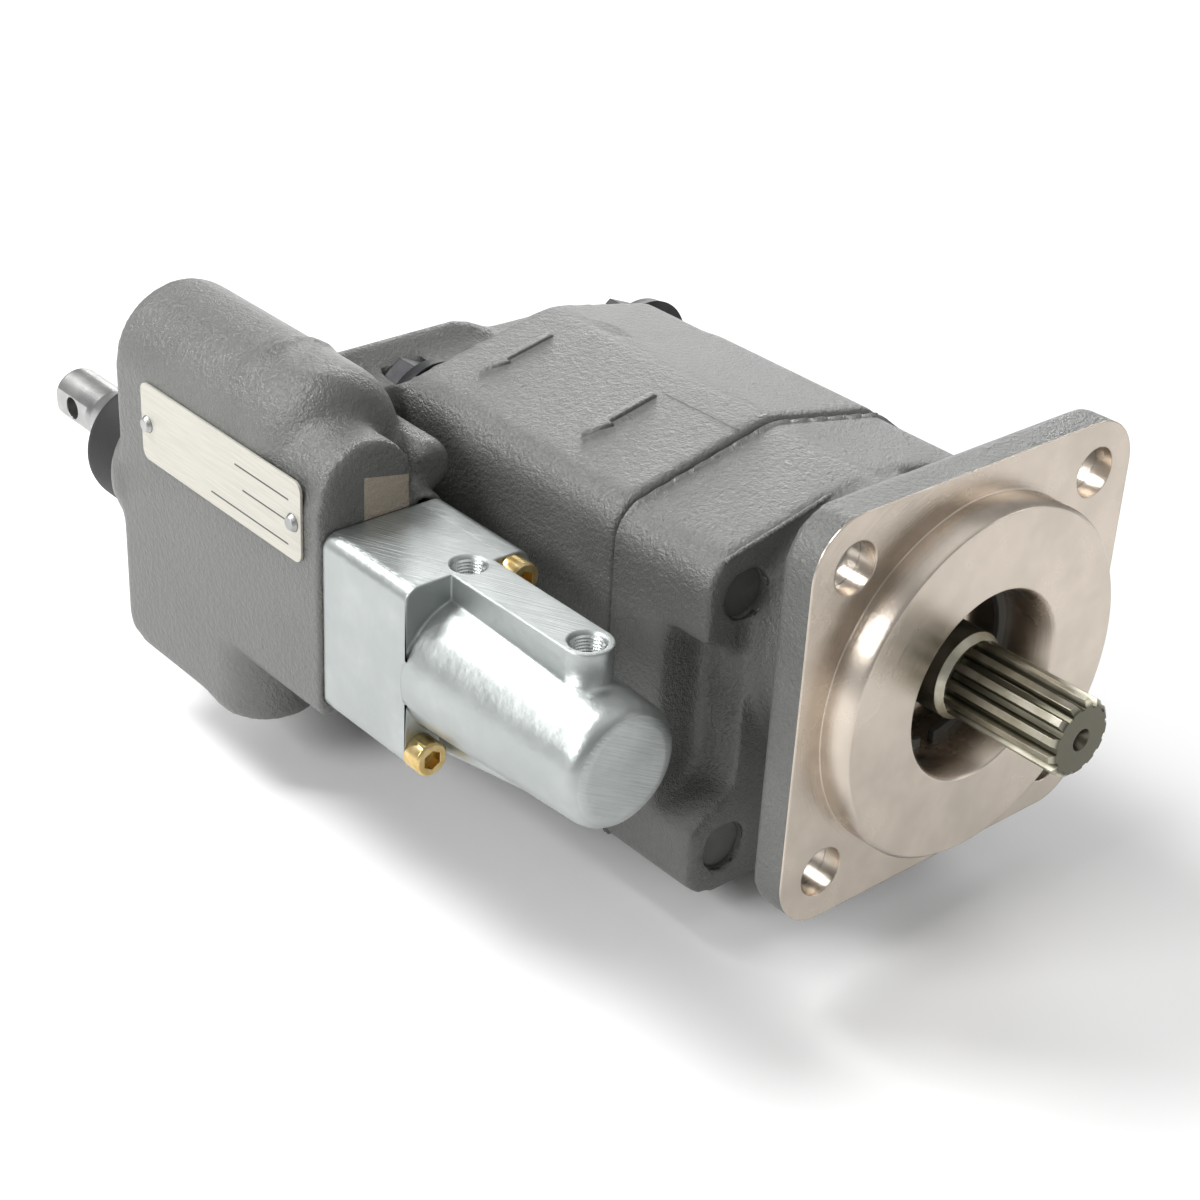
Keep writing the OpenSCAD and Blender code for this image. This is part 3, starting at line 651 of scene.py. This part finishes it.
gold = Finish("yellow_zinc", Metallic=1.0)
whole = gold.place()
tint = gold.grain(whole, 260, 2.0)
gold.feed("Base Color", tint.soft(0.3, 0.7).mix((0.60, 0.42, 0.15), (0.72, 0.57, 0.29)))
gold.feed("Roughness", 0.24 + 0.1 * tint)
gold.relief(gold.grain(whole, 2400, 2.0), 0.0001, 0.4, 0.0004)
screws = welded("air_screws")
for vert in screws.verts:
    if vert.co.z > 0:
        vert.co.z -= UPPER_LOWER
    if vert.co.x > HEADS_BEYOND:
        vert.co.x -= BLOCK_SHORTER
screw_piece = as_piece("cylinder_screws", screws, "housing", gold, smooth=False)
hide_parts("air_screws")

# Through bolts and other black steel.
# Black oxide over forged heads and rolled shanks. The bolts' front ends are painted over
# with the shaft end cover. Each head has a washer forged on and stands a little turned.
PAINTED_BEYOND = -0.06
HEADS_BACK = -0.176
WASHERS_BACK = -0.1725
WASHER_THICKER = 0.0014
HEAD_GROWTH = 1.035
HEAD_TURN = about_x(math.radians(8))

black = Finish("black_steel")
whole = black.place()
painted_end = black.axes(whole)[0] > PAINTED_BEYOND
rubbing = black.grain(whole, 180, 3.0)
oxide = rubbing.soft(0.4, 0.8).mix((0.022, 0.023, 0.025), (0.045, 0.045, 0.047))
black.feed("Base Color", painted_end.mix(oxide, rubbing.soft(0.4, 0.8).mix(*shades(PAINT, 0.75, 1))))
black.feed("Metallic", 0.6 - 0.6 * painted_end)
black.feed("Roughness", 0.36 + 0.15 * rubbing)
black.relief(black.grain(whole, 1600, 2.0), 0.0002, 0.4, 0.0005)
dress(black, "seal_ring", "piston_screw", "relief_cap", "check_plug")
bolts = welded("through_bolts")
for vert in bolts.verts:
    if vert.co.x < HEADS_BACK:
        vert.co.x -= WASHER_THICKER
    if vert.co.x < WASHERS_BACK:
        middle = Vector((vert.co.x, math.copysign(BOLT_SIDE, vert.co.y),
                         GEARS_MIDDLE + math.copysign(BOLT_HEIGHT, vert.co.z - GEARS_MIDDLE)))
        arm = HEAD_TURN @ (vert.co - middle) * HEAD_GROWTH
        vert.co = Vector((vert.co.x + EAR_SHIFT, middle.y + arm.y, middle.z + arm.z))
bolt_piece = as_piece("bolt_set", bolts, "housing", black, smooth=False)
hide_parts("through_bolts")

# Gear shafts.
# Ground and hardened steel with a dull olive film, darker at the bottom of the splines.
# The drive shaft and its gear are one piece, and so are the driven gear and its journals.
SPLINE_FLOOR = 0.0096
SPLINE_TOP = 0.0106

steel = Finish("olive_steel", Metallic=1.0)
whole = steel.place()
x, y, z = steel.axes(whole)
floor_of_groove = 1 - ((y * y + z * z) ** 0.5).soft(SPLINE_FLOOR, SPLINE_TOP)
film = steel.grain(whole, 160, 3.0)
worn = film.soft(0.3, 0.7).mix((0.36, 0.34, 0.26), (0.52, 0.50, 0.42))
steel.feed("Base Color", floor_of_groove.mix(worn, (0.12, 0.115, 0.085)))
steel.feed("Roughness", 0.24 + 0.16 * film)
steel.relief(steel.grain(whole, 1400, 2.0, 0.5, (0.08, 1, 1)), 0.0001, 0.4, 0.0003)
dress(steel, "drive_gear_shaft", "driven_gear_shaft")

# Spool, pins and springs.
# Plain ground or drawn steel, pale grey. Most of them work inside the castings, where
# bores and seats hold them.
plain = Finish("plain_steel", Metallic=1.0)
whole = plain.place()
haze = plain.grain(whole, 120, 3.0)
plain.feed("Base Color", haze.soft(0.3, 0.7).mix((0.33, 0.335, 0.33), (0.45, 0.45, 0.44)))
plain.feed("Roughness", 0.3 + 0.12 * haze)
plain.relief(plain.grain(whole, 1500, 2.0), 0.00015, 0.4, 0.0005)
dress(plain, "dowel_pins", "control_spool", "front_spring", "rear_spring", "spring_seat", "relief_poppet",
      "relief_spring", "relief_screw", "relief_nut", "check_poppet", "check_spring", "plate_screws")

# Rubber and fibre.
# Boot, seals and gasket, all matt black. They are moulded or punched, and held by their
# grooves or clamped between faces.
rubber = Finish("black_rubber")
whole = rubber.place()
bloom = rubber.grain(whole, 200, 3.0)
rubber.feed("Base Color", bloom.soft(0.3, 0.8).mix((0.004, 0.004, 0.005), (0.010, 0.010, 0.011)))
rubber.feed("Roughness", 0.55 + 0.2 * bloom)
rubber.relief(rubber.grain(whole, 900, 2.0), 0.0002, 0.4, 0.001)
dress(rubber, "rear_boot", "spool_seals", "piston_seal", "shaft_seal", "housing_seals", "air_gasket")

# Bronze bushings and thrust plates.
# They carry the gears' journals and sides inside the pump, and are machined all over.
bronze = Finish("bronze", Metallic=1.0)
whole = bronze.place()
patch = bronze.grain(whole, 100, 3.0)
bronze.feed("Base Color", patch.soft(0.3, 0.7).mix((0.5, 0.33, 0.14), (0.66, 0.46, 0.22)))
bronze.feed("Roughness", 0.28 + 0.14 * patch)
bronze.relief(bronze.grain(whole, 1200, 2.0), 0.0001, 0.4, 0.0004)
dress(bronze, "thrust_plates", "shaft_bushings")

# Name plate.
# Pale satin aluminium held by two drive screws, left without words. Three ruled lines are
# printed on it. Each rule has its start and end along x, and its height.
PLATE_FACE = -0.1134
RULES = ((-0.1674, -0.1411, 0.0241), (-0.1637, -0.1422, 0.0175), (-0.1799, -0.1415, 0.0105))
RULE_HALF = 0.00028

plate = Finish("pale_plate", Metallic=0.35)
whole = plate.place()
x, y, z = plate.axes(whole)
brushed = plate.grain(whole, 1500, 2.0, 0.5, (0.05, 1, 1))
blank = 1
for start, end, height in RULES:
    blank = blank * (1 - (x > start) * (x < end) * z.near(height, RULE_HALF))
ruled = (y < PLATE_FACE) * (1 - blank)
satin = brushed.soft(0.3, 0.7).mix((0.46, 0.445, 0.395), (0.52, 0.50, 0.445))
plate.feed("Base Color", ruled.mix(satin, (0.06, 0.06, 0.055)))
plate.feed("Roughness", 0.34 + 0.1 * brushed)
plate.relief(brushed, 0.00005, 0.3, 0.0003)
dress(plate, "name_plate")

# Cast marks on the left top slope.
# Two plain arrows and the mould's joint lines stand a little proud of the castings and are
# painted with them. The arrows' tops are painted lighter in patches, a painted highlight where
# they catch the light. The edge of the shaft end cover is painted lighter, partly for wear and
# partly as a painted highlight on its rounding.
RIDGE = 0.0435
SLOPE = math.atan2(11.5, 55)
ARROW = ((0, -0.0016), (0.0175, -0.0015), (0.0178, -0.0039), (0.027, 0), (0.0178, 0.0039),
         (0.0175, 0.0015), (0, 0.0016))
MARK_HEIGHT = 0.0014
MARK_SUNK = 0.0004
LINE_STEP = 0.0008
WAVES = 900
WAVER_SEED = 1


def on_slope(x, y, sunk):
    """A place on the left top slope, seen down the slope."""
    down = Vector((0, -math.cos(SLOPE), -math.sin(SLOPE)))
    out = Vector((0, -math.sin(SLOPE), math.cos(SLOPE)))
    at = Vector((x, y, RIDGE + y * math.tan(SLOPE))) - out * sunk
    return Matrix.Translation(at) @ Matrix((down, Vector((1, 0, 0)), out)).transposed().to_4x4()


def slope_point(x, y, sunk):
    """The point that lies sunk below the slope at x and y."""
    return on_slope(x, y, sunk).to_translation()


def cast_arrow(name, x, y, finish):
    """A raised arrow that points down the slope."""
    mesh = bmesh.new()
    outline = mesh.faces.new([mesh.verts.new((along, across, 0)) for along, across in ARROW])
    lifted = moved_verts(bmesh.ops.extrude_face_region(mesh, geom=[outline]))
    bmesh.ops.translate(mesh, verts=lifted, vec=(0, 0, MARK_HEIGHT))
    bmesh.ops.scale(mesh, verts=lifted, vec=(0.97, 0.72, 1), space=Matrix.Translation((-0.014, 0, 0)))
    bmesh.ops.recalc_face_normals(mesh, faces=mesh.faces)
    top = [edge for edge in mesh.edges if all(vert.co.z > 0.001 for vert in edge.verts)]
    bmesh.ops.bevel(mesh, geom=top, offset=0.0004, segments=3, profile=0.5, affect="EDGES", material=-1)
    bmesh.ops.transform(mesh, matrix=on_slope(x, y, MARK_SUNK), verts=mesh.verts)
    as_piece(name, mesh, "housing", finish)


def cast_line(name, start, end, radius, finish, waver=0.3):
    """A thin uneven ridge from start to end, half sunk in the casting."""
    steps = max(4, int((end - start).length / LINE_STEP))
    along = (end - start).to_track_quat("Z", "Y").to_matrix().to_4x4()
    mesh = bmesh.new()
    bmesh.ops.create_circle(mesh, cap_ends=True, radius=radius, segments=8)
    bmesh.ops.transform(mesh, matrix=Matrix.Translation(start) @ along, verts=mesh.verts)
    last = mesh.faces[:]
    for step in range(steps):
        extruded = bmesh.ops.extrude_face_region(mesh, geom=last)
        bmesh.ops.translate(mesh, verts=moved_verts(extruded), vec=(end - start) / steps)
        if step:
            bmesh.ops.delete(mesh, geom=last, context="FACES_ONLY")
        last = moved_faces(extruded)
    for vert in mesh.verts:
        vert.co += noise.noise_vector(vert.co * WAVES) * radius * waver
    bmesh.ops.recalc_face_normals(mesh, faces=mesh.faces)
    as_piece(name, mesh, "housing", finish)


# The noise is seeded, so that the lines waver in the same way in every run.
noise.seed_set(WAVER_SEED)
cast_line("joint_line", slope_point(-0.107, -0.0105, 0.0002), slope_point(-0.078, -0.0098, 0.0002), 0.0003,
          housing_paint)
cast_line("short_line", slope_point(-0.1461, -0.0106, 0.0002), slope_point(-0.1458, -0.0034, 0.0002), 0.0004,
          housing_paint)
# Painted lighter in patches: wear on the cover's edge and a painted highlight on its rounding.
worn_and_lit_edge = Finish("worn_and_lit_edge_paint", Roughness=0.34)
scuffs_and_glints = worn_and_lit_edge.grain(worn_and_lit_edge.place(), 1500, 3.0, 0.7)
worn_and_lit_edge.feed("Base Color", scuffs_and_glints.soft(0.4, 0.65).mix((0.11, 0.11, 0.105), (0.30, 0.30, 0.285)))
worn_and_lit_edge.relief(scuffs_and_glints, 0.0008, 0.5)
# The arrows' paint runs up to 1.7 times lighter in patches, a painted highlight where their tops catch the
# light.
highlit_mark_paint = Finish("raised_mark_highlit_paint", Roughness=0.3)
glints = highlit_mark_paint.grain(highlit_mark_paint.place(), 900, 3.0, 0.65)
highlit_mark_paint.feed("Base Color", glints.soft(0.3, 0.7).mix(*shades(PAINT, 0.95, 1.7)))
highlit_mark_paint.relief(glints, 0.0012, 0.6)
cast_arrow("rear_arrow", -0.1568, -0.0108, highlit_mark_paint)
cast_arrow("front_arrow", -0.109, -0.0128, highlit_mark_paint)
cast_line("cover_edge_line", slope_point(-0.0394, -0.050, 0.0024), slope_point(-0.0394, -0.013, 0.0022),
          0.0007, worn_and_lit_edge, 0.4)

# Threads of the two air ports.
# Cut pipe threads, 27 to the inch, in the cast bar. Each is one helical ridge round the
# wall of its port.
PORTS = (("block_port_thread", -0.093), ("bar_port_thread", -0.045))
PORT_SIDE = -0.0898
PITCH = 0.00094
TURNS = 9
THREAD_DOWN = 0.0006
ROOT_RADIUS = 0.00458
CREST_RADIUS = 0.00408
ROUND_STEPS = 48

cut_zinc = Finish("cut_thread_zinc", Metallic=1.0)
chatter = cut_zinc.grain(cut_zinc.place(), 1800, 2.0)
cut_zinc.feed("Base Color", chatter.soft(0.3, 0.7).mix((0.50, 0.53, 0.52), (0.66, 0.69, 0.68)))
cut_zinc.feed("Roughness", 0.22 + 0.1 * chatter)
cut_zinc.relief(chatter, 0.00004, 0.4)
for name, port_x in PORTS:
    thread = bmesh.new()
    flanks = []
    for turn in range(TURNS):
        root_z = BLOCK_TOP - THREAD_DOWN - turn * PITCH
        flanks.append(thread.verts.new((port_x + ROOT_RADIUS, PORT_SIDE, root_z)))
        flanks.append(thread.verts.new((port_x + CREST_RADIUS, PORT_SIDE, root_z - PITCH / 2)))
    profile = [thread.edges.new(pair) for pair in zip(flanks, flanks[1:])]
    bmesh.ops.spin(thread, geom=flanks + profile, cent=(port_x, PORT_SIDE, 0), axis=(0, 0, 1),
                   angle=2 * math.pi, steps=ROUND_STEPS, dvec=(0, 0, -PITCH / ROUND_STEPS), use_merge=False,
                   use_duplicate=False)
    bmesh.ops.remove_doubles(thread, verts=thread.verts, dist=WELD * 10)
    bmesh.ops.recalc_face_normals(thread, faces=thread.faces)
    inner = thread.faces[:][0]
    to_axis = Vector((port_x, PORT_SIDE, 0)) - inner.calc_center_median()
    to_axis.z = 0
    if inner.normal.dot(to_axis) < 0:
        bmesh.ops.reverse_faces(thread, faces=thread.faces)
    as_piece(name, thread, "housing", cut_zinc, smooth=False)
